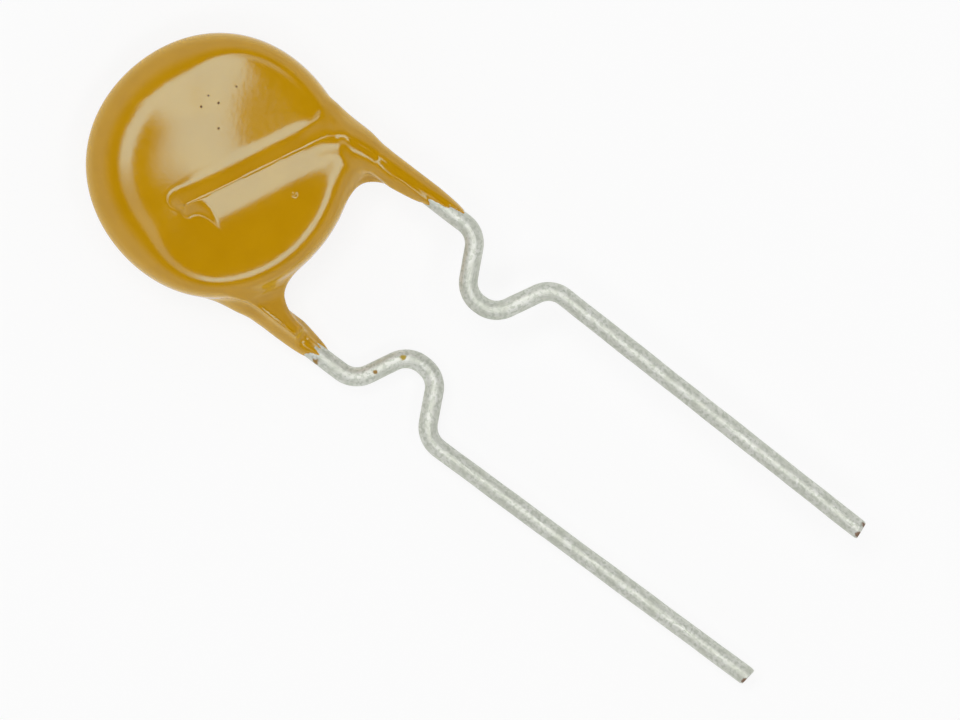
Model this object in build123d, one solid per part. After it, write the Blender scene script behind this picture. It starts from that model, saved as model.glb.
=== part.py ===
from build123d import *

import os
from dataclasses import dataclass
from math import radians, sqrt, tan

# Resettable fuse with two radial wire leads.
# A disc of conductive polymer has a foil on each face. A tinned wire is soldered across each foil,
# and the whole is dipped in epoxy, which runs a little way down both wires.
# Each wire has an inward kink that holds the body off the board.
# Frame: the part lies on its rear side, +Z is up out of the front face, and the legs point along -Y.
# The origin is on the surface it lies on, under the middle of its width and length.
# Lengths are in millimetres and angles in degrees.

# Wire leads
wire_diameter = 0.51
bend_radius = 0.70  # to the middle of the wire
neck_pitch = 5.16  # between the wires where they leave the body
seat_pitch = 5.27  # between the wires just under the kinks
tip_pitch = 4.94  # between the wires at their ends
pitch_shift = 0.18  # of both wires to one side of the body
bend_drop = 2.03  # from the body's middle down to the corner where the wire turns along the leg
seat_drop = 8.94  # from the body's middle down to the lower corner of the kinks
leg_length = 10.63  # from the kinks to the tips
kink_depth = 1.50
kink_angle = 63.0
kink_crest = 0.08  # straight stretch at the kink's innermost point
kink_stagger = 0.11  # front kink below the mean, rear kink above it

# Polymer disc and foils
polymer_thickness = 0.57
foil_thickness = 0.035

# Solder along each wire
solder_film = 0.025  # between the wire and the foil
solder_foot = 1.20  # width on the foil
solder_crown = 0.64  # width level with the middle of the wire
solder_lap = 0.30  # past the end of the wire
solder_margin = 0.30  # to the edge of the disc

# Epoxy coating
body_diameter = 7.00
body_thickness = 2.00  # between the middles of the faces
face_dome = 0.13  # of a face's middle over its rim, level with the edge of the disc inside
edge_cover = 0.80  # past the edge of the disc inside
ridge_rise = 0.185  # of the ridge over the wire, above the middle of the face
ridge_blend = 0.30  # radius where the ridge over the wire meets the face
front_neck_cover = 0.155  # round the wire where it leaves the body
rear_neck_cover = 0.145
end_cover = 0.045  # round the wire where the coating stops
end_taper = 0.60  # of the neck that thins towards its end
bare_neck = 0.86  # bare wire between the coating and the kink
front_end_slant = -50.0  # of the coating's end, outer side lower
rear_end_slant = 18.0  # of the coating's end, inner side lower
crotch_radius = 1.30  # between the body and the neck, on the inner side
web_thickness = 0.52  # of the coating drawn into the crotch
ridge_step = 0.03  # from the ridge's skin down to the coating that goes on to the neck
web_inset = 0.06  # of the web below the skin of the neck
web_tuck = 0.30  # of the web's hollow below the skin of the body

# Places, as shares of the sizes that they follow
edge_round_share = 0.33  # of the body's thickness
web_round_share = 0.42  # of the web's thickness, on its hollow edge
wire_end_shares = (-0.575, 0.043)  # across and along, of the disc's radius
ridge_overlap_share = 0.80  # of the ridge's length, where the coating to the neck starts
web_root_share = 0.49  # of the body's radius, down from its middle
web_level_share = 0.75  # of the wire's height over the body's middle

# Worked out from the sizes above
wire_radius = wire_diameter / 2
body_radius = body_diameter / 2
chip_radius = body_radius - edge_cover
foil_top = polymer_thickness / 2 + foil_thickness
lead_height = foil_top + solder_film + wire_radius
body_half = body_thickness / 2
edge_round = edge_round_share * body_thickness
dome_radius = (chip_radius**2 + face_dome**2) / (2 * face_dome)
face_radius = body_radius - edge_round
ridge_radius = body_half + ridge_rise - lead_height
end_radius = wire_radius + end_cover
corner_reach = bend_radius * tan(radians(kink_angle / 2))  # of a kink's bend along the wire
kink_slope = kink_depth / tan(radians(kink_angle))
kink_length = 2 * kink_slope + 2 * corner_reach + kink_crest
tip_drop = seat_drop + leg_length
rest_height = lead_height + ridge_radius
middle_drop = (tip_drop - body_radius) / 2


@dataclass
class Lead:
    """One wire in its own frame, with the foil it is soldered to facing +Z."""

    name: str
    turn: float
    shift: float
    stagger: float
    neck_cover: float
    end_slant: float

    def across(self, pitch):
        """Place of the wire across the body, at a stretch with this pitch."""
        return pitch / 2 + self.shift

    @property
    def wire_end(self):
        return Vector(wire_end_shares[0] * chip_radius, wire_end_shares[1] * chip_radius, lead_height)

    @property
    def corner(self):
        return Vector(self.across(neck_pitch), -bend_drop, lead_height)

    @property
    def run_direction(self):
        return (self.corner - self.wire_end).normalized()

    @property
    def kink_top(self):
        return -seat_drop - self.stagger + kink_length

    @property
    def coat_end(self):
        return self.kink_top + corner_reach + bare_neck

    @property
    def neck_radius(self):
        return wire_radius + self.neck_cover

    @property
    def slant_reach(self):
        return self.neck_radius * tan(radians(abs(self.end_slant)))

    @property
    def ridge_reach(self):
        return self.run_to_circle(face_radius) - ridge_radius - ridge_blend

    def on_run(self, length):
        return self.wire_end + self.run_direction * length

    def run_to_circle(self, radius):
        """Length along the wire, from its end, to where it crosses a circle round the body's middle."""
        start = Vector(self.wire_end.X, self.wire_end.Y, 0)
        along = -start.dot(self.run_direction)
        offset = (start + self.run_direction * along).length
        return along + sqrt(radius**2 - offset**2)

    def place(self, shape):
        """Turn a shape from this wire's own frame to the body's."""
        return shape.rotate(Axis.Y, self.turn)


leads = (
    Lead("front", 0, pitch_shift, kink_stagger, front_neck_cover, front_end_slant),
    Lead("rear", 180, -pitch_shift, -kink_stagger, rear_neck_cover, rear_end_slant),
)


def lead_path(lead):
    """Middle line of the wire: across the foil, round the corner, through the kink and down the leg."""
    neck_x = lead.across(neck_pitch)
    seat_x = lead.across(seat_pitch)
    crest_top = lead.kink_top - kink_slope
    seat_y = lead.kink_top - kink_length
    crest_bottom = seat_y + kink_slope
    return FilletPolyline(
        lead.wire_end,
        lead.corner,
        (neck_x, lead.kink_top, lead_height),
        (neck_x - kink_depth, crest_top, lead_height),
        (seat_x - kink_depth, crest_bottom, lead_height),
        (seat_x, seat_y, lead_height),
        (lead.across(tip_pitch), -tip_drop, lead_height),
        radius=bend_radius,
    )


def swept_round(path, radius):
    return sweep(Plane(origin=path @ 0, z_dir=path % 0) * Circle(radius), path=path)


def wire_lead(lead):
    return lead.place(swept_round(lead_path(lead), wire_radius))


def polymer_disc():
    return Cylinder(chip_radius, polymer_thickness)


def electrode(lead):
    level = polymer_thickness / 2 + foil_thickness / 2
    return lead.place(Pos(0, 0, level) * Cylinder(chip_radius, foil_thickness))


def solder_joint(lead, wire):
    """A low mound along the wire, from past its end to short of the disc's edge."""
    start = lead.on_run(-solder_lap)
    end = lead.on_run(lead.run_to_circle(chip_radius) - solder_margin)
    length = (end - start).length
    middle = (start + end) / 2
    foot = Plane(origin=(middle.X, middle.Y, foil_top), x_dir=lead.run_direction)
    crown = Plane(origin=middle, x_dir=lead.run_direction)
    crown_length = length - solder_foot + solder_crown
    mound = loft([foot * SlotOverall(length, solder_foot), crown * SlotOverall(crown_length, solder_crown)])
    return lead.place(mound) - wire


def pill():
    """The dipped disc: two slightly domed faces and a round edge."""
    disc = Cylinder(body_radius, body_thickness)
    for side in (1, -1):
        disc &= Pos(0, 0, side * (body_half - dome_radius)) * Rot(90, 0, 0) * Sphere(dome_radius)
    return fillet(disc.edges().filter_by(GeomType.CIRCLE), edge_round)


def rod(start, end, start_radius, end_radius):
    """A round bar between two points, straight or tapered."""
    direction = end - start
    first = Plane(origin=start, z_dir=direction)
    last = Plane(origin=end, z_dir=direction)
    return loft([first * Circle(start_radius), last * Circle(end_radius)])


def ridge(lead):
    """Round-ended ridge over the wire, inside the face."""
    start = lead.wire_end
    end = lead.on_run(lead.ridge_reach)
    bar = Plane(origin=start, z_dir=lead.run_direction) * extrude(Circle(ridge_radius), lead.ridge_reach)
    return lead.place(bar + Pos(*start) * Sphere(ridge_radius) + Pos(*end) * Sphere(ridge_radius))


def sleeve(lead):
    """Coating round the wire: off the face, round the corner and down the neck to a thin end."""
    turn = lead.run_direction.get_angle(Vector(0, -1, 0))
    corner_cut = bend_radius * tan(radians(turn / 2))
    bend_start = lead.corner - lead.run_direction * corner_cut
    bend_end = lead.corner - Vector(0, corner_cut, 0)
    neck_end = Vector(lead.corner.X, lead.coat_end - lead.slant_reach, lead_height)
    taper_start = neck_end + Vector(0, end_taper, 0)
    face_start = lead.on_run(lead.ridge_reach * ridge_overlap_share)
    off_face = rod(face_start, bend_start, ridge_radius - ridge_step, lead.neck_radius)
    bend = swept_round(TangentArc(bend_start, bend_end, tangent=lead.run_direction), lead.neck_radius)
    neck = rod(bend_end, taper_start, lead.neck_radius, lead.neck_radius)
    tip = rod(taper_start, neck_end, lead.neck_radius, end_radius)
    return lead.place(off_face + bend + neck + tip)


def web(lead):
    """Coating drawn into the crotch between body and neck, with a round hollow edge."""
    round_x = lead.corner.X - lead.neck_radius + web_inset - crotch_radius
    seat_radius = body_radius - web_tuck
    round_y = -sqrt((seat_radius + crotch_radius) ** 2 - round_x**2)
    to_body = Vector(-round_x, -round_y).normalized() * crotch_radius
    to_neck = Vector(crotch_radius, 0)
    middle = Vector(round_x, round_y)
    hollow = TangentArc(middle + to_neck, middle + to_body, tangent=(0, 1))
    root_y = -web_root_share * body_radius
    sides = Polyline(
        middle + to_body,
        (round_x, root_y),
        (lead.corner.X, root_y),
        (lead.corner.X, round_y),
        middle + to_neck,
    )
    plate = extrude(make_face([hollow, sides]), web_thickness / 2, both=True)
    rims = plate.edges().filter_by(GeomType.CIRCLE)
    rounded = fillet(rims, web_round_share * web_thickness)
    return lead.place(Pos(0, 0, lead_height * web_level_share) * rounded)


def end_cutter(lead):
    """Everything past the slanted end of the coating."""
    size = body_diameter
    edge = Pos(lead.corner.X, lead.coat_end, lead_height) * Rot(0, 0, lead.end_slant)
    return lead.place(edge * Box(size, size, size, align=(Align.CENTER, Align.MAX, Align.CENTER)))


def coating(inner_pieces):
    """The epoxy: dipped disc, ridges over the wires, necks and webs, with the inner pieces taken out."""
    body = pill()
    for lead in leads:
        bump = ridge(lead)
        joined = body + bump
        body = fillet(new_edges(body, bump, combined=joined), ridge_blend)
    for lead in leads:
        body += sleeve(lead) - end_cutter(lead)
        body += web(lead)
    for piece in inner_pieces:
        body -= piece
    return body


def nodes():
    pieces = {"ptc_disc": polymer_disc()}
    for lead in leads:
        wire = wire_lead(lead)
        pieces[f"{lead.name}_electrode"] = electrode(lead)
        pieces[f"{lead.name}_solder"] = solder_joint(lead, wire)
        pieces[f"{lead.name}_lead"] = wire
    pieces["epoxy_coating"] = coating(list(pieces.values()))
    return pieces


def main():
    os.makedirs("parts", exist_ok=True)
    place = Pos(0, middle_drop, rest_height)
    for name, shape in nodes().items():
        export_step(place * shape, f"parts/{name}.step")


main()
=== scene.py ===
import math

import bmesh
import bpy
import numpy as np
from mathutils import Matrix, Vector


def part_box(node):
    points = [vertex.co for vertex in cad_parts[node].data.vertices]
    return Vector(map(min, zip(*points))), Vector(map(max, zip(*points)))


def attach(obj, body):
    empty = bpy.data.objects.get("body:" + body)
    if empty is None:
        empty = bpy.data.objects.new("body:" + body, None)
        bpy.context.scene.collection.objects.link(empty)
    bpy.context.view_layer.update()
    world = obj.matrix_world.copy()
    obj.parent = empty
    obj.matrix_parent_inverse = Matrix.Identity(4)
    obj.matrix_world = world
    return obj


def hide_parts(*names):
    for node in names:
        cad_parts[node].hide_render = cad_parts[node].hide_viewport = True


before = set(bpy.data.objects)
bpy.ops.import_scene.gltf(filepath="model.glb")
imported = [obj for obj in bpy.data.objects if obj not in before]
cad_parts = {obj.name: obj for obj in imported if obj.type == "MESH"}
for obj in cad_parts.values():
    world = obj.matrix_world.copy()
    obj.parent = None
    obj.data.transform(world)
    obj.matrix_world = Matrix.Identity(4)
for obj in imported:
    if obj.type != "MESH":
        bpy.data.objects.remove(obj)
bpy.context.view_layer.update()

# The looks of a small dipped fuse on two kinked wires, lying on a white table and seen from above.
# Shapes are worked out in millimetres from the middle of the disc: +Z out of its front face, legs along -Y.
# A lead is described in its own frame, where it lies on the front face at +X. The rear lead's frame is
# the front one turned half a turn about Y.

MM = 0.001
per_mm = 1 / MM

# Sizes taken from the frame
disc_low, disc_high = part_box("ptc_disc")
coat_low, coat_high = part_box("epoxy_coating")
wire_low, wire_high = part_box("front_lead")
middle = (disc_low + disc_high) / 2
body_radius = (coat_high.x - coat_low.x) / 2 / MM
crest_height = (coat_high.z - middle.z) / MM
wire_radius = (wire_high.z - wire_low.z) / 2 / MM
lead_height = ((wire_high.z + wire_low.z) / 2 - middle.z) / MM
tip_y = (wire_low.y - middle.y) / MM

# Wire leads
bend_radius = 0.70  # to the middle of the wire
neck_pitch = 5.16  # between the wires where they leave the body
seat_pitch = 5.27  # between the wires just under the kinks
tip_pitch = 4.94  # between the wires at their ends
pitch_shift = 0.18  # of both wires to one side of the body
corner_y = -2.03  # where the wire turns along the leg
seat_y = -8.94  # at the lower corner of the kinks
kink_depth = 1.50
kink_angle = 63.0
kink_crest = 0.08  # straight stretch at the kink's innermost point
kink_stagger = 0.11  # front kink below the mean, rear kink above it
wire_end = (-1.5525, 0.1161)  # on the face
wire_sides = 40
wire_step = 0.06  # between the rings of points along the wire
wire_wave_shares = (0.012, 0.008)  # of the radius, in the skin of the wire
wire_wave_turns = (1.7, 4.3)  # for each mm along the wire
wire_wave_lobes = (2, 1)  # round the wire
tip_shear = 0.12
tip_pinch_share = 0.10  # of the radius
tip_round = 0.03

# Coating at each lead, front and rear
neck_radii = (0.405, 0.400)
neck_insets = (0.05, 0.07)  # of the coating's middle from the wire's, towards the body
coat_ends = (-5.40, -5.05)
end_leans = (-0.60, 0.12)  # of the coating's end, from the wire's middle to its outer side
corner_growths = (0.55, 0.30)  # of the face, drawn out towards the neck

# Edge of the coated disc
edge_powers = (14.0, 4.5)  # of the rounding across the disc: tight and soft
flat_powers = (3.0, 2.0)  # of the rounding through its thickness
soft_edge_way = (-0.38, 0.925)  # where the edge is softest
soft_edge_shares = (-0.30, 0.70)  # of that way, from tight to soft
rim_grow = 0.025
rim_wave = 0.03
rim_lobes = 4
rim_turn = 2.26
corner_y_aim = -2.73  # that the face is drawn out to, at each neck
corner_width = 0.20
corner_depth = 0.5  # below the face, over which that fades
least_slope = 0.45  # of the disc's field

# Faces of the coated disc
face_height = 0.945  # at the middle of the face
face_slope = 0.05  # of the face towards its rim
face_crown = 1.0  # radius over which the face is rounded at its middle
wave_height = 0.0018
face_waves = (  # weight, turn for each mm along x and y, start
    (0.50, 2.3, 1.1, 0.4),
    (0.50, -1.2, 2.9, 2.1),
    (0.35, 3.6, -1.7, 4.0),
    (0.25, 1.9, 4.6, 1.3),
)
bubble_place = (0.61, -2.10)
bubble_radius = 0.055
bubble_rise = 0.03

# Ridge over each wire. Sides go from minus one, on the wire's inner side, to one on its outer side
ridge_height = 0.245
ridge_steep = 0.40  # slope of the ridge on the outer side of the wire
ridge_gentle = 0.205  # slope on the inner side
ridge_steep_sides = (-1.0, -0.3)
ridge_inset = 0.20  # from the wire's end to the ridge's
ridge_end_steep = 0.90  # more slope round the wire's end
ridge_end_side = (-0.4, 0.7)  # where that is, and how wide
crest_rounds = (0.008, 0.06)  # on the face and past it
crest_round_span = (2.9, 3.3)
apron_slope = 0.08  # of the face below the inner side
apron_start = 0.84  # from the wire
apron_fade = (-0.7, 0.9)  # along the wire, from the ridge's end
apron_sides = (-0.2, 0.9)  # towards the inner side
band_start = 0.6  # along the wire, where the gentle side sets in
band_round = 0.05
foot_round = 0.12
skin_bend = 1.30  # of the ridge and the neck over the wire's bend
skirt_height = 0.025  # of the skin drawn up against the ridge's outer side
skirt_reach = 0.30
skirt_fade = (-0.4, 0.6)
skirt_sides = (-0.3, 0.3)

# Coating down the necks
neck_start = 3.05  # from the disc's middle, where the coating leaves the face
neck_tall_shares = (0.35, 0.85)  # of its cover, on top of the wire: at the end and at the body
neck_tall_span = (-5.0, -2.9)
end_taper = 0.95
end_lip = 0.02  # below the skin of the wire, past the end of the coating
end_waves = ((0.12, 3.1, 2.3, 0.0), (0.10, 8.3, -4.1, 1.0))  # height, turn across and round the wire, start
crotch_radius = 1.30
web_half = 0.06  # at its hollow edge
web_slope = 0.45  # that each side rises by towards the body and the neck
web_most = 0.55  # half of its thickness at most
web_level = 0.15
web_root = -1.72
web_inset = 0.06
web_tuck = 0.30
web_round = 0.12
web_blend = 0.30
shoulder_span = (-1.60, -3.30)  # of the skin drawn over the outer corner
shoulder_fade = (-3.2, -2.0)
shoulder_level = 0.40
shoulder_halves = (0.33, 0.38)  # of its height: at the neck and at the body
shoulder_thin = 0.02
shoulder_waist_share = 0.85
shoulder_blend = 0.15
skin_blends = (0.20, 0.45)  # on the face and past the rim
side_blend_span = (3.2, 3.6)

# Net of points over the coating
voxel = 0.040
grid_margin = 3 * voxel
grid_end_margin = 1.2  # past the end of the coating
join_depth = 0.0001
join_passes = 3
settle_passes = 3
settle_floor = 0.25  # least square of the slope
probe_share = 0.10  # of a grid cell

# Stains on the wires: place, radius and colour
copper = (0.20, 0.12, 0.07, 1)
gold_fleck = (0.42, 0.30, 0.03, 1)
brown_fleck = (0.30, 0.17, 0.03, 1)
stains = (
    ((2.83, -19.54, 0.77), 0.10, copper),
    ((2.52, -19.57, 0.80), 0.13, copper),
    ((-2.44, -19.57, -0.42), 0.13, copper),
    ((-1.08, -7.03, -0.35), 0.10, gold_fleck),
    ((-1.85, -6.68, -0.36), 0.07, brown_fleck),
    ((-2.60, -5.24, -0.45), 0.12, brown_fleck),
)
spot_edge_share = 1.5  # of a spot's radius, where it has faded out

# Pinholes in the skin of the front face, drawn only as painted shade: a dark matt spot where each hole is,
# with no hole in the mesh
pinholes = ((1.33, 0.99), (0.97, 1.30), (1.32, 1.33), (0.79, 0.58), (1.34, 1.92), (1.97, 0.87))
pinhole_level = 0.93
pinhole_radius = 0.045
pinhole_shade_tone = (0.16, 0.07, 0.004, 1)

# Finishes: colours, spans of roughness, and sizes of the clouds and grain for each millimetre
cloud_span = (0.3, 0.7)
grain_span = (0.2, 0.8)
epoxy_tones = ((0.515, 0.258, 0.001, 1), (0.545, 0.278, 0.002, 1))
# Painted light: the epoxy is painted lighter towards its rim and the sides of the necks, where the skin
# turns away from the camera.
epoxy_painted_rim_light_tone = (0.66, 0.37, 0.012, 1)
epoxy_painted_rim_light_span = (0.15, 0.7)
epoxy_sheen = (0.50, 0.92, 1.0, 1)
epoxy_roughness = (0.08, 0.13)
epoxy_index = 1.6
epoxy_cloud_scale = 0.9
epoxy_cloud_detail = 3.0
epoxy_grain_scale = 9.0
epoxy_bump = 0.06
bump_depth = 0.02
tin_tones = ((0.63, 0.65, 0.57, 1), (0.76, 0.77, 0.72, 1))
tin_grain_tone = (0.57, 0.595, 0.52, 1)
tin_streak_tone = (0.84, 0.85, 0.81, 1)
tin_edge_tone = (0.80, 0.82, 0.78, 1)
tin_cloud_scale = 3.2
tin_cloud_detail = 4.0
tin_grain_scale = 11.0
tin_grain_detail = 3.0
tin_grain_span = (0.52, 0.40)
tin_streak_stretch = (9.0, 0.7, 0.0)  # round the wire and along it
tin_streak_noise = (3.0, 4.0, 0.6)  # scale, detail and roughness
tin_streak_span = (0.52, 0.72)
tin_gloss_span = (0.25, 0.75)
tin_roughness = (0.48, 0.66)
tin_bump = 0.25
polymer_tones = ((0.012, 0.012, 0.013, 1), (0.03, 0.03, 0.032, 1))
polymer_roughness = (0.55, 0.75)
polymer_grain_scale = 6.0
polymer_grain_detail = 4.0
foil_tones = ((0.45, 0.43, 0.40, 1), (0.60, 0.58, 0.54, 1))
foil_roughness = (0.25, 0.45)
foil_cloud_scale = 4.0
solder_tones = ((0.50, 0.51, 0.52, 1), (0.66, 0.67, 0.68, 1))
solder_roughness = (0.30, 0.50)
solder_cloud_scale = 3.0
metal_cloud_detail = 3.0

# White table
white = (1, 1, 1, 1)
paint_tones = ((0.84, 0.84, 0.84, 1), (0.86, 0.86, 0.86, 1))
paint_scale = 0.05
floor_glow_share = 0.85  # of plain white in what is seen of the table
floor_size = 2.0
floor_gap = 0.01 * MM

# Camera
leg_turn = math.radians(-52.66)  # of the legs in the picture
view_centre = (0.106 * MM, -0.678 * MM)
view_width = 25.668 * MM
camera_height = 0.40
clip_near_share = 0.01
clip_far_share = 10.0
sensor_width = 36.0
picture_right = Vector((math.cos(leg_turn), math.sin(leg_turn), 0))
picture_up = Vector((-math.sin(leg_turn), math.cos(leg_turn), 0))

# Studio light, as seen on a ceiling one unit high: a soft box overhead and a ring of light round it
box_left = 0.17
box_left_slope = 1.25
box_left_soft = 0.085
box_right = 0.017
box_right_soft = 0.014
box_bottom = -0.03
box_top = 0.45
box_soft = 0.010
ring_inner = (0.37, 0.42)
ring_outer = (0.66, 0.58)
ring_dims = (  # where the ring is dimmer, to the upper right and the lower left: way, span and level
    ((0.574, 0.819), (0.60, 0.95), 0.28),
    ((0.80, 0.60), (0.93, 0.99), 0.0),
    ((-0.80, -0.60), (0.70, 0.97), 0.25),
)
light_level = 4.75
wall_level = 0.80
wall_rise = (0.80, 0.50)
least_divisor = 0.001


class Lead:
    """The line of one wire in its own frame, and the coating that it carries."""

    def __init__(self, name, number, side):
        self.name = name
        self.side = side
        self.neck_radius = neck_radii[number]
        self.neck_inset = neck_insets[number]
        self.coat_end = coat_ends[number]
        self.end_lean = end_leans[number]
        self.growth = corner_growths[number]
        self.neck_x = neck_pitch / 2 + side * pitch_shift
        self.start = np.array(wire_end)
        self.corner = np.array((self.neck_x, corner_y))
        run = self.corner - self.start
        self.run = run / np.hypot(*run)
        kink_slope = kink_depth / math.tan(math.radians(kink_angle))
        kink_reach = bend_radius * math.tan(math.radians(kink_angle / 2))
        kink_low = seat_y - side * kink_stagger
        kink_top = kink_low + 2 * kink_slope + 2 * kink_reach + kink_crest
        self.kink_start = kink_top + kink_reach
        self.points = self.corners(kink_top, kink_low, kink_slope)

    def corners(self, kink_top, kink_low, kink_slope):
        """Corners of the wire's line, from its end on the face to its tip."""
        seat_x = seat_pitch / 2 + self.side * pitch_shift
        return [
            wire_end,
            (self.neck_x, corner_y),
            (self.neck_x, kink_top),
            (self.neck_x - kink_depth, kink_top - kink_slope),
            (seat_x - kink_depth, kink_low + kink_slope),
            (seat_x, kink_low),
            (tip_pitch / 2 + self.side * pitch_shift, tip_y),
        ]


front = Lead("front", 0, 1.0)
rear = Lead("rear", 1, -1.0)
leads = (front, rear)


def part_way(ends, share):
    return ends[0] + (ends[1] - ends[0]) * share


def smooth_step(value, low, high):
    share = np.clip((value - low) / (high - low), 0, 1)
    return share * share * (3 - 2 * share)


def smooth_min(first, second, blend):
    near = np.maximum(blend - np.abs(first - second), 0) / blend
    return np.minimum(first, second) - near * near * blend / 4


def sines(waves, first, second):
    """Sum of slow waves over two measures."""
    return sum(size * np.sin(a * first + b * second + start) for size, a, b, start in waves)


def bend_parts(lead):
    """Middle, start and end of the skin's bend over the wire at the body's corner."""
    turn = math.acos(-lead.run[1])
    cut = skin_bend * math.tan(turn / 2)
    start = lead.corner - lead.run * cut
    end = lead.corner - np.array((0, cut))
    return end - np.array((skin_bend, 0)), start, end


def bar_distance(x, y, start, end):
    """Distance in the plane from a straight stretch."""
    span = end - start
    share = ((x - start[0]) * span[0] + (y - start[1]) * span[1]) / (span @ span)
    share = np.clip(share, 0, 1)
    return np.hypot(x - start[0] - share * span[0], y - start[1] - share * span[1])


def in_bend(x, y, lead):
    """Whether a place lies in the fan of the wire's bend, and its distance from the bend's middle."""
    pivot, bend_start, _ = bend_parts(lead)
    angle = np.arctan2(y - pivot[1], x - pivot[0])
    fan = (angle > 0) & (angle < math.atan2(*(bend_start - pivot)[::-1]))
    return fan, np.hypot(x - pivot[0], y - pivot[1])


def wire_distance(x, y, lead, start):
    """Distance in the plane from the wire, from a place on the face to past the coating's end."""
    _, bend_start, bend_end = bend_parts(lead)
    neck_end = np.array((lead.corner[0], lead.kink_start))
    on_face = bar_distance(x, y, start, bend_start)
    straight = np.minimum(on_face, bar_distance(x, y, bend_end, neck_end))
    fan, out = in_bend(x, y, lead)
    return np.where(fan, np.minimum(np.abs(out - skin_bend), straight), straight)


def wire_side(x, y, lead, start):
    """Place along the wire, and its side: one on the outer and minus one on the inner side.

    Round the wire's end the side goes over smoothly from one to the other.
    """
    pivot, _, _ = bend_parts(lead)
    along = (x - start[0]) * lead.run[0] + (y - start[1]) * lead.run[1]
    across = (y - start[1]) * lead.run[0] - (x - start[0]) * lead.run[1]
    fan, out = in_bend(x, y, lead)
    side = np.where(y < pivot[1], x - lead.corner[0], across)
    side = np.sign(np.where(fan, out - skin_bend, side))
    past_end = across / np.maximum(np.hypot(along, across), voxel)
    return along, np.where(along > 0, side, past_end)


def ridge_slope(along, side):
    """Slope of the ridge: steep on the outer side, gentle on the inner side, steepest round the end."""
    end_side, end_width = ridge_end_side
    end = np.exp(-(((side - end_side) / end_width) ** 2)) * (1 - smooth_step(along, 0, band_start))
    slope = part_way((ridge_gentle, ridge_steep), smooth_step(side, *ridge_steep_sides))
    return slope + ridge_end_steep * end


def ridge_over_wire(x, y, lead):
    """Height that the wire lifts the skin by."""
    start = lead.start + lead.run * ridge_inset
    out = wire_distance(x, y, lead, start)
    along, side = wire_side(x, y, lead, start)
    crest = part_way(crest_rounds, smooth_step(np.hypot(x, y), *crest_round_span))
    roof = ridge_height - ridge_slope(along, side) * (np.hypot(out, crest) - crest)
    apron = ridge_height - (ridge_gentle - apron_slope) * apron_start - apron_slope * out
    apron = apron * smooth_step(along, *apron_fade) * smooth_step(-side, *apron_sides)
    lifted = -smooth_min(-roof, -apron, band_round)
    foot = ridge_height / ridge_steep
    skirt = skirt_height * np.exp(-np.maximum(out - foot, 0) / skirt_reach)
    skirt = skirt * smooth_step(along, *skirt_fade) * smooth_step(side, *skirt_sides)
    return -smooth_min(-lifted, -skirt, foot_round)


def rim_radius(x, y, z):
    """Radius of the disc's uneven edge, which is drawn out towards each neck."""
    rim = body_radius + rim_grow + rim_wave * np.cos(rim_lobes * np.arctan2(y, x) - rim_turn)
    for lead in leads:
        corner_turn = math.atan2(corner_y_aim, lead.corner[0])
        from_corner = (np.arctan2(y, x * lead.side) - corner_turn) / corner_width
        rim = rim + lead.growth * np.exp(-(from_corner**2)) * smooth_step(z * lead.side, 0, corner_depth)
    return rim


def face_level(x, y, z):
    """Height of the face over the disc's middle: crowned and a little wavy, with a ridge and a bubble."""
    fall = face_slope * face_crown * np.log(np.cosh(np.hypot(x, y) / face_crown))
    ridge = np.where(z > 0, ridge_over_wire(x, y, front), ridge_over_wire(-x, y, rear))
    bubble = np.hypot(x - bubble_place[0], y - bubble_place[1]) / bubble_radius
    bubble = np.where(z > 0, bubble_rise * np.exp(-(bubble**2)), 0)
    return face_height - fall + ridge + wave_height * sines(face_waves, x, y) + bubble


def disc_field(x, y, z):
    """Signed distance, nearly, to the coated disc."""
    out = np.hypot(x, y)
    rim = rim_radius(x, y, z)
    height = face_level(x, y, z)
    way = (x * soft_edge_way[0] + y * soft_edge_way[1]) / np.maximum(out, voxel)
    soft = smooth_step(way, *soft_edge_shares)
    power = part_way(edge_powers, soft)
    flat = part_way(flat_powers, soft)
    share = out / rim
    rise = np.abs(z) / height
    level = rise**flat + share**power - 1
    slope = np.hypot(flat * rise ** (flat - 1) / height, power * share ** (power - 1) / rim)
    near = level / np.hypot(slope, least_slope)
    return np.where(out > rim, np.maximum(near, out - rim), near)


def neck_root(lead):
    """Where the wire leaves the face."""
    reach = math.sqrt(neck_start**2 - (lead.start @ lead.start) + (lead.start @ lead.run) ** 2)
    return lead.start + lead.run * (reach - lead.start @ lead.run)


def neck_field(x, y, z, lead):
    """Signed distance, nearly, to the coating round the wire, which thins out to a ragged end."""
    outward = np.clip((x - lead.corner[0]) / wire_radius, -1, 1)
    facing = (z - lead_height) / wire_radius
    stop = lead.coat_end + lead.end_lean * outward + sines(end_waves, outward, facing)
    share = np.clip((y - stop) / end_taper, 0, 1)
    cover = (lead.neck_radius - wire_radius + end_lip) * np.sqrt(share) - end_lip
    apart = wire_distance(x + lead.neck_inset * share, y, lead, neck_root(lead))
    tall = part_way(neck_tall_shares, smooth_step(y, *neck_tall_span))
    wide = wire_radius + cover
    high = wire_radius + np.where(cover > 0, cover * tall, cover)
    return (np.hypot(apart / wide, (z - lead_height) / high) - 1) * np.minimum(wide, high)


def web_field(x, y, z, lead):
    """Signed distance, nearly, to the skin drawn into the crotch between the body and a neck."""
    hollow_x = lead.corner[0] - lead.neck_radius + web_inset - crotch_radius
    hollow_y = -math.sqrt((body_radius - web_tuck + crotch_radius) ** 2 - hollow_x**2)
    hollow = crotch_radius - np.hypot(x - hollow_x, y - hollow_y)
    across = np.maximum(hollow_x - x, x - lead.corner[0])
    along = np.maximum(hollow_y - y, y - web_root)
    outline = np.maximum(np.maximum(across, along), hollow)
    half = smooth_min(web_half - web_slope * np.minimum(hollow, 0), web_most, web_round)
    thick = (np.abs(z - web_level) - half) / math.hypot(1, web_slope)
    return -smooth_min(-outline, -thick, web_round)


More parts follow.
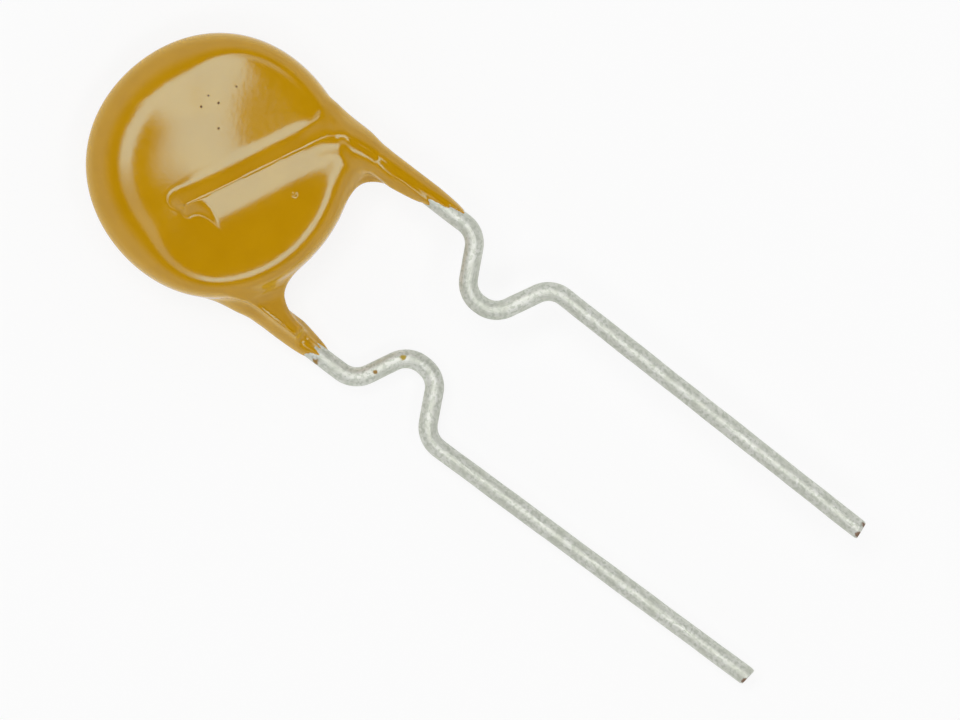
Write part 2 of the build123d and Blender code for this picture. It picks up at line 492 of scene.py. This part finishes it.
def shoulder_field(x, y, z, lead):
    """Signed distance, nearly, to the skin drawn over the body's outer corner."""
    line = lead.corner[0] - lead.neck_inset
    top, low = (np.array((line, end)) for end in shoulder_span)
    apart = bar_distance(x, y, top, low)
    share = smooth_step(y, *shoulder_fade)
    wide = (lead.neck_radius - shoulder_thin) * part_way((shoulder_waist_share, 1), share)
    level = part_way((lead_height, shoulder_level), share)
    half = part_way(shoulder_halves, share)
    return (np.hypot(apart / wide, (z - level) / half) - 1) * np.minimum(wide, half)


def coating_field(x, y, z):
    """Signed distance, nearly, to the whole coating."""
    field = disc_field(x, y, z)
    blend = part_way(skin_blends, smooth_step(np.hypot(x, y), *side_blend_span))
    for lead in leads:
        own = (x * lead.side, y, z * lead.side, lead)
        drawn = smooth_min(neck_field(*own), web_field(*own), web_blend)
        drawn = smooth_min(drawn, shoulder_field(*own), shoulder_blend)
        field = smooth_min(field, drawn, blend)
    return field


def grid_field(low, high):
    """The coating's field on a regular grid over a box."""
    axes = [np.arange(a, b + voxel, voxel) for a, b in zip(low, high)]
    grid = np.meshgrid(*axes, indexing="ij")
    return coating_field(*grid), np.array(low)


def corner_slices(shape):
    """For each corner of a grid cell, its place in the cell and the slice of the grid that holds it."""
    for place in np.ndindex(2, 2, 2):
        yield np.array(place), tuple(slice(p, s - 1 + p) for p, s in zip(place, shape))


def join_diagonals(field):
    """Take in one more grid point wherever a grid square has just two opposite corners inside."""
    for axis in (0, 1, 2) * join_passes:
        layers = np.moveaxis(field, axis, 0)
        near, right = layers[:, :-1, :-1], layers[:, 1:, :-1]
        far, opposite = layers[:, :-1, 1:], layers[:, 1:, 1:]
        falling = (near < 0) & (opposite < 0) & (right >= 0) & (far >= 0)
        rising = (right < 0) & (far < 0) & (near >= 0) & (opposite >= 0)
        right[falling] = -join_depth
        near[rising] = -join_depth


def net_points(field):
    """A point for each grid cell that the surface crosses, and the number of each such cell."""
    cells = tuple(s - 1 for s in field.shape)
    inside = sum((field[part] < 0).astype(int) for _, part in corner_slices(field.shape))
    used = (inside > 0) & (inside < 8)
    number = np.full(cells, -1)
    number[used] = np.arange(used.sum())
    values = {tuple(place): field[part][used] for place, part in corner_slices(field.shape)}
    total = np.zeros((used.sum(), 3))
    hits = np.zeros(used.sum())
    for place, value in values.items():
        for axis in range(3):
            if place[axis]:
                continue
            other = values[tuple(p + (k == axis) for k, p in enumerate(place))]
            crossed = (value < 0) != (other < 0)
            share = np.where(crossed, value / np.where(crossed, value - other, 1), 0)
            spot = np.tile(np.array(place, float), (len(value), 1))
            spot[:, axis] += share
            total += spot * crossed[:, None]
            hits += crossed
    return np.argwhere(used) + total / hits[:, None], number


def net_faces(field, number):
    """A quad round each grid edge that the surface crosses."""
    faces = []
    for axis in range(3):
        step = np.roll((1, 0, 0), axis)
        first = field[tuple(slice(0, -1) if s else slice(1, -1) for s in step)]
        last = field[tuple(slice(1, None) if s else slice(1, -1) for s in step)]
        leaving = (first < 0) & (last >= 0)
        entering = (first >= 0) & (last < 0)
        b, c = np.roll((0, 1, 0), axis), np.roll((0, 0, 1), axis)
        for crossed, order in ((leaving, (0, 1, 2, 3)), (entering, (3, 2, 1, 0))):
            spot = np.argwhere(crossed)
            ring = [spot, spot + b, spot + b + c, spot + c]
            faces.append(np.stack([number[tuple(ring[k].T)] for k in order], axis=1))
    return np.concatenate(faces)


def field_slope(points):
    """Slope of the coating's field at each point."""
    probe = voxel * probe_share
    slopes = []
    for step in probe * np.eye(3):
        rise = coating_field(*(points + step).T) - coating_field(*(points - step).T)
        slopes.append(rise / (2 * probe))
    return np.stack(slopes, axis=1)


def settle(points):
    """Move points on to the zero level of the coating's field."""
    for _ in range(settle_passes):
        value = coating_field(*points.T)
        slope = field_slope(points)
        move = value[:, None] * slope / np.maximum((slope**2).sum(1), settle_floor)[:, None]
        points = points - np.clip(move, -voxel / 2, voxel / 2)
    return points


def to_scene(points):
    return np.asarray(points) * MM + np.array(middle)


def make_mesh(name, points, faces):
    mesh = bpy.data.meshes.new(name)
    mesh.from_pydata(to_scene(points).tolist(), [], np.asarray(faces).tolist())
    mesh.shade_smooth()
    piece = bpy.data.objects.new(name, mesh)
    bpy.context.scene.collection.objects.link(piece)
    return piece


def coating_piece():
    """The dipped skin: disc, ridges, necks, webs and shoulders in one closed mesh."""
    reach = body_radius + grid_margin
    level = crest_height + grid_margin
    field, low = grid_field((-reach, front.coat_end - grid_end_margin, -level), (reach, reach, level))
    join_diagonals(field)
    points, number = net_points(field)
    faces = net_faces(field, number)
    return make_mesh("dipped_coating", settle(low + points * voxel), faces)


def bend_points(before, here, after, radius, step):
    """Points on the arc that rounds off one corner of a line."""
    into = (here - before) / np.hypot(*(here - before))
    out = (after - here) / np.hypot(*(after - here))
    turn = math.atan2(into[0] * out[1] - into[1] * out[0], into @ out)
    normal = np.array((-into[1], into[0])) * math.copysign(1, turn)
    start = here - into * radius * math.tan(abs(turn) / 2)
    count = max(2, int(radius * abs(turn) / step))
    angles = abs(turn) * np.linspace(0, 1, count + 1)
    return [start + radius * (into * math.sin(a) + normal * (1 - math.cos(a))) for a in angles]


def rounded_line(corners, radius, step):
    """Points along straight stretches joined by arcs, with the direction at each."""
    corners = [np.array(corner, float) for corner in corners]
    points = [corners[0]]
    for before, here, after in zip(corners, corners[1:], corners[2:]):
        points += bend_points(before, here, after, radius, step)
    points.append(corners[-1])
    filled = [points[0]]
    for before, after in zip(points, points[1:]):
        count = max(1, int(np.hypot(*(after - before)) / step))
        filled += [before + (after - before) * k / count for k in range(1, count + 1)]
    filled = np.array(filled)
    direction = np.gradient(filled, axis=0)
    return filled, direction / np.hypot(*direction.T)[:, None]


def tube_faces(rings):
    """Quads between neighbouring rings of points."""
    faces = []
    for ring in range(rings - 1):
        near, far = ring * wire_sides, (ring + 1) * wire_sides
        for k in range(wire_sides):
            after = (k + 1) % wire_sides
            faces.append((near + k, near + after, far + after, far + k))
    return faces


def wire_piece(lead):
    """A drawn round wire with slightly uneven skin and a sheared tip."""
    line, direction = rounded_line(lead.points, bend_radius, wire_step)
    length = np.concatenate([[0], np.cumsum(np.hypot(*np.diff(line, axis=0).T))])
    angle = np.arange(wire_sides) * 2 * math.pi / wire_sides
    across = np.stack([-direction[:, 1], direction[:, 0]], axis=1)
    uneven = 1
    for share, turn, lobes in zip(wire_wave_shares, wire_wave_turns, wire_wave_lobes):
        uneven = uneven + share * np.sin(turn * length[:, None] + lobes * angle)
    to_tip = length[-1] - length
    uneven = uneven * (1 - tip_pinch_share * np.exp(-to_tip / tip_round))[:, None]
    side = wire_radius * uneven * np.cos(angle)
    rise = wire_radius * uneven * np.sin(angle)
    lean = tip_shear * np.exp(-to_tip / wire_radius)[:, None] * side
    x = line[:, :1] + across[:, :1] * side - direction[:, :1] * lean
    y = line[:, 1:] + across[:, 1:] * side - direction[:, 1:] * lean
    z = lead_height + rise
    points = np.stack([x * lead.side, y, z * lead.side], axis=2).reshape(-1, 3)
    rings = len(line)
    piece = make_mesh(f"{lead.name}_wire", points, tube_faces(rings))
    close_ends(piece.data, rings)
    add_wire_map(piece.data, length)
    return piece


def close_ends(mesh, rings):
    """Cap both ends of the wire and turn all faces outwards."""
    made = bmesh.new()
    made.from_mesh(mesh)
    made.verts.ensure_lookup_table()
    first = [made.verts[k] for k in range(wire_sides)]
    last = [made.verts[(rings - 1) * wire_sides + k] for k in range(wire_sides)]
    made.faces.new(first[::-1])
    made.faces.new(last)
    made.normal_update()
    bmesh.ops.recalc_face_normals(made, faces=made.faces)
    made.to_mesh(mesh)
    made.free()


def add_wire_map(mesh, length):
    """Map of the wire's skin: round the wire, and along it in millimetres."""
    layer = mesh.uv_layers.new(name="skin")
    for loop in mesh.loops:
        ring, k = divmod(loop.vertex_index, wire_sides)
        turn = abs(2 * k / wire_sides - 1)
        layer.data[loop.index].uv = (turn, length[ring])


class Nodes:
    """Short ways to build one material's or world's nodes."""

    colour_inputs = (6, 7)  # of a mix of colours
    colour_output = 2
    value_inputs = (2, 3)  # of a mix of values
    value_output = 0

    def __init__(self, owner):
        owner.use_nodes = True
        self.tree = owner.node_tree
        self.tree.nodes.clear()

    def add(self, kind, inputs=None, **settings):
        node = self.tree.nodes.new(kind)
        for name, value in settings.items():
            setattr(node, name, value)
        for key, value in (inputs or {}).items():
            self.join(value, node.inputs[key])
        return node

    def join(self, value, socket):
        if isinstance(value, bpy.types.NodeSocket):
            self.tree.links.new(value, socket)
        else:
            socket.default_value = value

    def math(self, operation, first, second=0.0, third=0.0):
        inputs = {0: first, 1: second, 2: third}
        return self.add("ShaderNodeMath", inputs, operation=operation).outputs[0]

    def dot(self, first, second):
        inputs = {0: first, 1: second}
        return self.add("ShaderNodeVectorMath", inputs, operation="DOT_PRODUCT").outputs["Value"]

    def span(self, value, low, high, start=0.0, end=1.0):
        """Value moved smoothly from one range to another."""
        inputs = {"Value": value, "From Min": low, "From Max": high, "To Min": start, "To Max": end}
        return self.add("ShaderNodeMapRange", inputs, interpolation_type="SMOOTHSTEP").outputs[0]

    def noise(self, vector, scale, detail=2.0, roughness=0.5):
        inputs = {"Vector": vector, "Scale": scale, "Detail": detail, "Roughness": roughness}
        return self.add("ShaderNodeTexNoise", inputs).outputs["Fac"]

    def mix(self, share, first, second):
        """Colour between two others."""
        inputs = {"Factor": share, **dict(zip(self.colour_inputs, (first, second)))}
        return self.add("ShaderNodeMix", inputs, data_type="RGBA").outputs[self.colour_output]

    def either(self, share, first, second):
        """Value between two others."""
        inputs = {"Factor": share, **dict(zip(self.value_inputs, (first, second)))}
        return self.add("ShaderNodeMix", inputs).outputs[self.value_output]

    def place(self, name="Object"):
        return self.add("ShaderNodeTexCoord").outputs[name]

    def scaled(self, vector, factors):
        return self.add("ShaderNodeVectorMath", {0: vector, 1: factors}, operation="MULTIPLY").outputs[0]

    def bump(self, height, strength, distance):
        inputs = {"Height": height, "Strength": strength, "Distance": distance}
        return self.add("ShaderNodeBump", inputs).outputs[0]

    def principled(self, **inputs):
        named = {key.replace("_", " "): value for key, value in inputs.items()}
        self.finish(self.add("ShaderNodeBsdfPrincipled", named).outputs[0])

    def finish(self, shader):
        self.add("ShaderNodeOutputMaterial", {"Surface": shader})


def new_material(name):
    material = bpy.data.materials.new(name)
    return material, Nodes(material)


def near_spot(nodes, place, spot, size, uneven):
    """One within a small uneven spot, going to nothing at its edge."""
    inputs = {0: place, 1: tuple(to_scene(spot))}
    apart = nodes.add("ShaderNodeVectorMath", inputs, operation="DISTANCE").outputs["Value"]
    apart = nodes.math("MULTIPLY_ADD", uneven, size * MM, apart)
    return nodes.span(apart, spot_edge_share * size * MM, size * MM)


def epoxy_material():
    """Glossy golden epoxy, a little uneven in colour and gloss, with painted light towards its rim and
    painted shade in its pinholes.
    """
    material, nodes = new_material("golden_epoxy")
    place = nodes.place()
    cloud = nodes.noise(place, epoxy_cloud_scale * per_mm, epoxy_cloud_detail)
    grain = nodes.noise(place, epoxy_grain_scale * per_mm)
    colour = nodes.mix(nodes.span(cloud, *cloud_span), *epoxy_tones)
    gloss = nodes.span(grain, *grain_span, *epoxy_roughness)
    skin = nodes.bump(grain, epoxy_bump, bump_depth * MM)
    # Painted light: the colour goes over to a lighter tone where the skin turns away from the camera.
    edge = nodes.add("ShaderNodeLayerWeight").outputs["Facing"]
    colour = nodes.mix(nodes.span(edge, *epoxy_painted_rim_light_span), colour, epoxy_painted_rim_light_tone)
    # Painted shade: each pinhole gets a dark, matt spot in place of the shade inside the hole.
    for spot in pinholes:
        near = near_spot(nodes, place, (*spot, pinhole_level), pinhole_radius, grain)
        colour = nodes.mix(near, colour, pinhole_shade_tone)
        gloss = nodes.math("MAXIMUM", gloss, near)
    nodes.principled(
        Base_Color=colour, Roughness=gloss, IOR=epoxy_index, Specular_Tint=epoxy_sheen, Normal=skin
    )
    return material


def wire_material():
    """Tinned copper: dull tin, drawn along the wire, clouded, with flecks of epoxy and bare tips."""
    material, nodes = new_material("tinned_copper")
    place = nodes.place()
    skin = nodes.add("ShaderNodeUVMap", uv_map="skin").outputs[0]
    streak = nodes.noise(nodes.scaled(skin, tin_streak_stretch), *tin_streak_noise)
    cloud = nodes.noise(place, tin_cloud_scale * per_mm, tin_cloud_detail)
    grain = nodes.noise(place, tin_grain_scale * per_mm, tin_grain_detail)
    colour = nodes.mix(nodes.span(cloud, *cloud_span), *tin_tones)
    colour = nodes.mix(nodes.span(grain, *tin_grain_span), colour, tin_grain_tone)
    colour = nodes.mix(nodes.span(streak, *tin_streak_span), colour, tin_streak_tone)
    bare = 1.0
    for spot, size, tone in stains:
        near = near_spot(nodes, place, spot, size, grain)
        colour = nodes.mix(near, colour, tone)
        bare = nodes.math("SUBTRACT", bare, near)
    gloss = nodes.span(streak, *tin_gloss_span, *tin_roughness)
    drawn = nodes.bump(streak, tin_bump, bump_depth * MM)
    nodes.principled(
        Base_Color=colour, Metallic=bare, Roughness=gloss, Specular_Tint=tin_edge_tone, Normal=drawn
    )
    return material


def polymer_material():
    """Matt black carbon-filled polymer."""
    material, nodes = new_material("carbon_polymer")
    grain = nodes.noise(nodes.place(), polymer_grain_scale * per_mm, polymer_grain_detail)
    gloss = nodes.span(grain, *grain_span, *polymer_roughness)
    nodes.principled(Base_Color=nodes.mix(grain, *polymer_tones), Roughness=gloss)
    return material


def metal_material(name, tones, roughness, scale):
    """A plain metal with a clouded colour and gloss."""
    material, nodes = new_material(name)
    cloud = nodes.noise(nodes.place(), scale * per_mm, metal_cloud_detail)
    gloss = nodes.span(cloud, *grain_span, *roughness)
    nodes.principled(Base_Color=nodes.mix(cloud, *tones), Metallic=1.0, Roughness=gloss)
    return material


def soft_box(nodes, right, up):
    """One where the soft box is on the ceiling, with soft edges."""
    left = nodes.math("MAXIMUM", box_left, nodes.math("MULTIPLY", up, box_left_slope))
    box = nodes.span(nodes.math("ADD", right, left), -box_left_soft, box_left_soft)
    edges = (
        (right, box_right + box_right_soft, box_right - box_right_soft),
        (up, box_bottom - box_soft, box_bottom + box_soft),
        (up, box_top + box_soft, box_top - box_soft),
    )
    for edge in edges:
        box = nodes.math("MULTIPLY", box, nodes.span(*edge))
    return box


def light_ring(nodes, right, up):
    """One where the ring of light is on the ceiling, and less where it is dimmed."""
    square = nodes.math("MULTIPLY_ADD", up, up, nodes.math("MULTIPLY", right, right))
    out = nodes.math("SQRT", square)
    ring = nodes.math("MULTIPLY", nodes.span(out, *ring_inner), nodes.span(out, *ring_outer))
    for way, span, level in ring_dims:
        along = nodes.math("MULTIPLY_ADD", up, way[1], nodes.math("MULTIPLY", right, way[0]))
        share = nodes.math("DIVIDE", along, nodes.math("MAXIMUM", out, least_divisor))
        ring = nodes.math("MULTIPLY", ring, nodes.span(share, *span, 1.0, level))
    return ring


def make_world():
    """Pale walls, a soft box overhead and a ring of light round it. The camera sees plain white."""
    world = bpy.data.worlds.new("studio")
    bpy.context.scene.world = world
    nodes = Nodes(world)
    direction = nodes.place("Generated")
    height = nodes.dot(direction, (0, 0, 1))
    rise = nodes.math("MAXIMUM", height, least_divisor)
    right = nodes.math("DIVIDE", nodes.dot(direction, picture_right), rise)
    up = nodes.math("DIVIDE", nodes.dot(direction, picture_up), rise)
    lamps = nodes.math("MAXIMUM", soft_box(nodes, right, up), light_ring(nodes, right, up))
    lamps = nodes.math("MULTIPLY", lamps, light_level)
    walls = nodes.math("MULTIPLY", nodes.span(height, *wall_rise), wall_level)
    seen = nodes.add("ShaderNodeLightPath").outputs["Is Camera Ray"]
    level = nodes.either(seen, nodes.math("ADD", lamps, walls), 1.0)
    back = nodes.add("ShaderNodeBackground", {"Color": white, "Strength": level})
    nodes.add("ShaderNodeOutputWorld", {"Surface": back.outputs[0]})


def floor_material():
    """White table: it shows a faint shadow, and sends back light as white paint does."""
    material, nodes = new_material("white_table")
    grain = nodes.noise(nodes.place(), paint_scale * per_mm)
    lit = nodes.add("ShaderNodeBsdfDiffuse", {"Color": nodes.mix(grain, *paint_tones)}).outputs[0]
    glow = nodes.add("ShaderNodeEmission", {"Color": white, "Strength": 1.0}).outputs[0]
    path = nodes.add("ShaderNodeLightPath").outputs
    seen = nodes.math("MAXIMUM", path["Is Camera Ray"], path["Is Glossy Ray"])
    seen = nodes.math("MAXIMUM", seen, path["Is Transmission Ray"])
    share = nodes.math("MULTIPLY", seen, floor_glow_share)
    nodes.finish(nodes.add("ShaderNodeMixShader", {0: share, 1: lit, 2: glow}).outputs[0])
    return material


def make_floor():
    bpy.ops.mesh.primitive_plane_add(size=floor_size, location=(0, 0, -floor_gap))
    floor = bpy.context.object
    floor.name = "table"
    floor.data.materials.append(floor_material())


def make_camera():
    """A camera straight above, turned so that the legs run to the lower right."""
    data = bpy.data.cameras.new("camera")
    data.sensor_width = sensor_width
    data.lens = sensor_width * (camera_height - middle.z) / view_width
    data.clip_start = camera_height * clip_near_share
    data.clip_end = camera_height * clip_far_share
    camera = bpy.data.objects.new("camera", data)
    camera.location = (*view_centre, camera_height)
    camera.rotation_euler = (0, 0, leg_turn)
    bpy.context.scene.collection.objects.link(camera)
    bpy.context.scene.camera = camera


def dress_inner_nodes():
    """Finish of the pieces inside, which stay as they are."""
    polymer = polymer_material()
    foil = metal_material("nickel_foil", foil_tones, foil_roughness, foil_cloud_scale)
    solder = metal_material("solder", solder_tones, solder_roughness, solder_cloud_scale)
    finishes = {"ptc_disc": polymer}
    for lead in leads:
        finishes[f"{lead.name}_electrode"] = foil
        finishes[f"{lead.name}_solder"] = solder
    for name, material in finishes.items():
        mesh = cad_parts[name].data
        mesh.materials.clear()
        mesh.materials.append(material)


def place_piece(piece, node, material):
    piece.data.materials.append(material)
    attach(piece, "root")
    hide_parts(node)


def main():
    place_piece(coating_piece(), "epoxy_coating", epoxy_material())
    tin = wire_material()
    for lead in leads:
        place_piece(wire_piece(lead), f"{lead.name}_lead", tin)
    dress_inner_nodes()
    make_floor()
    make_world()
    make_camera()
    bpy.context.scene.view_settings.view_transform = "Standard"


main()
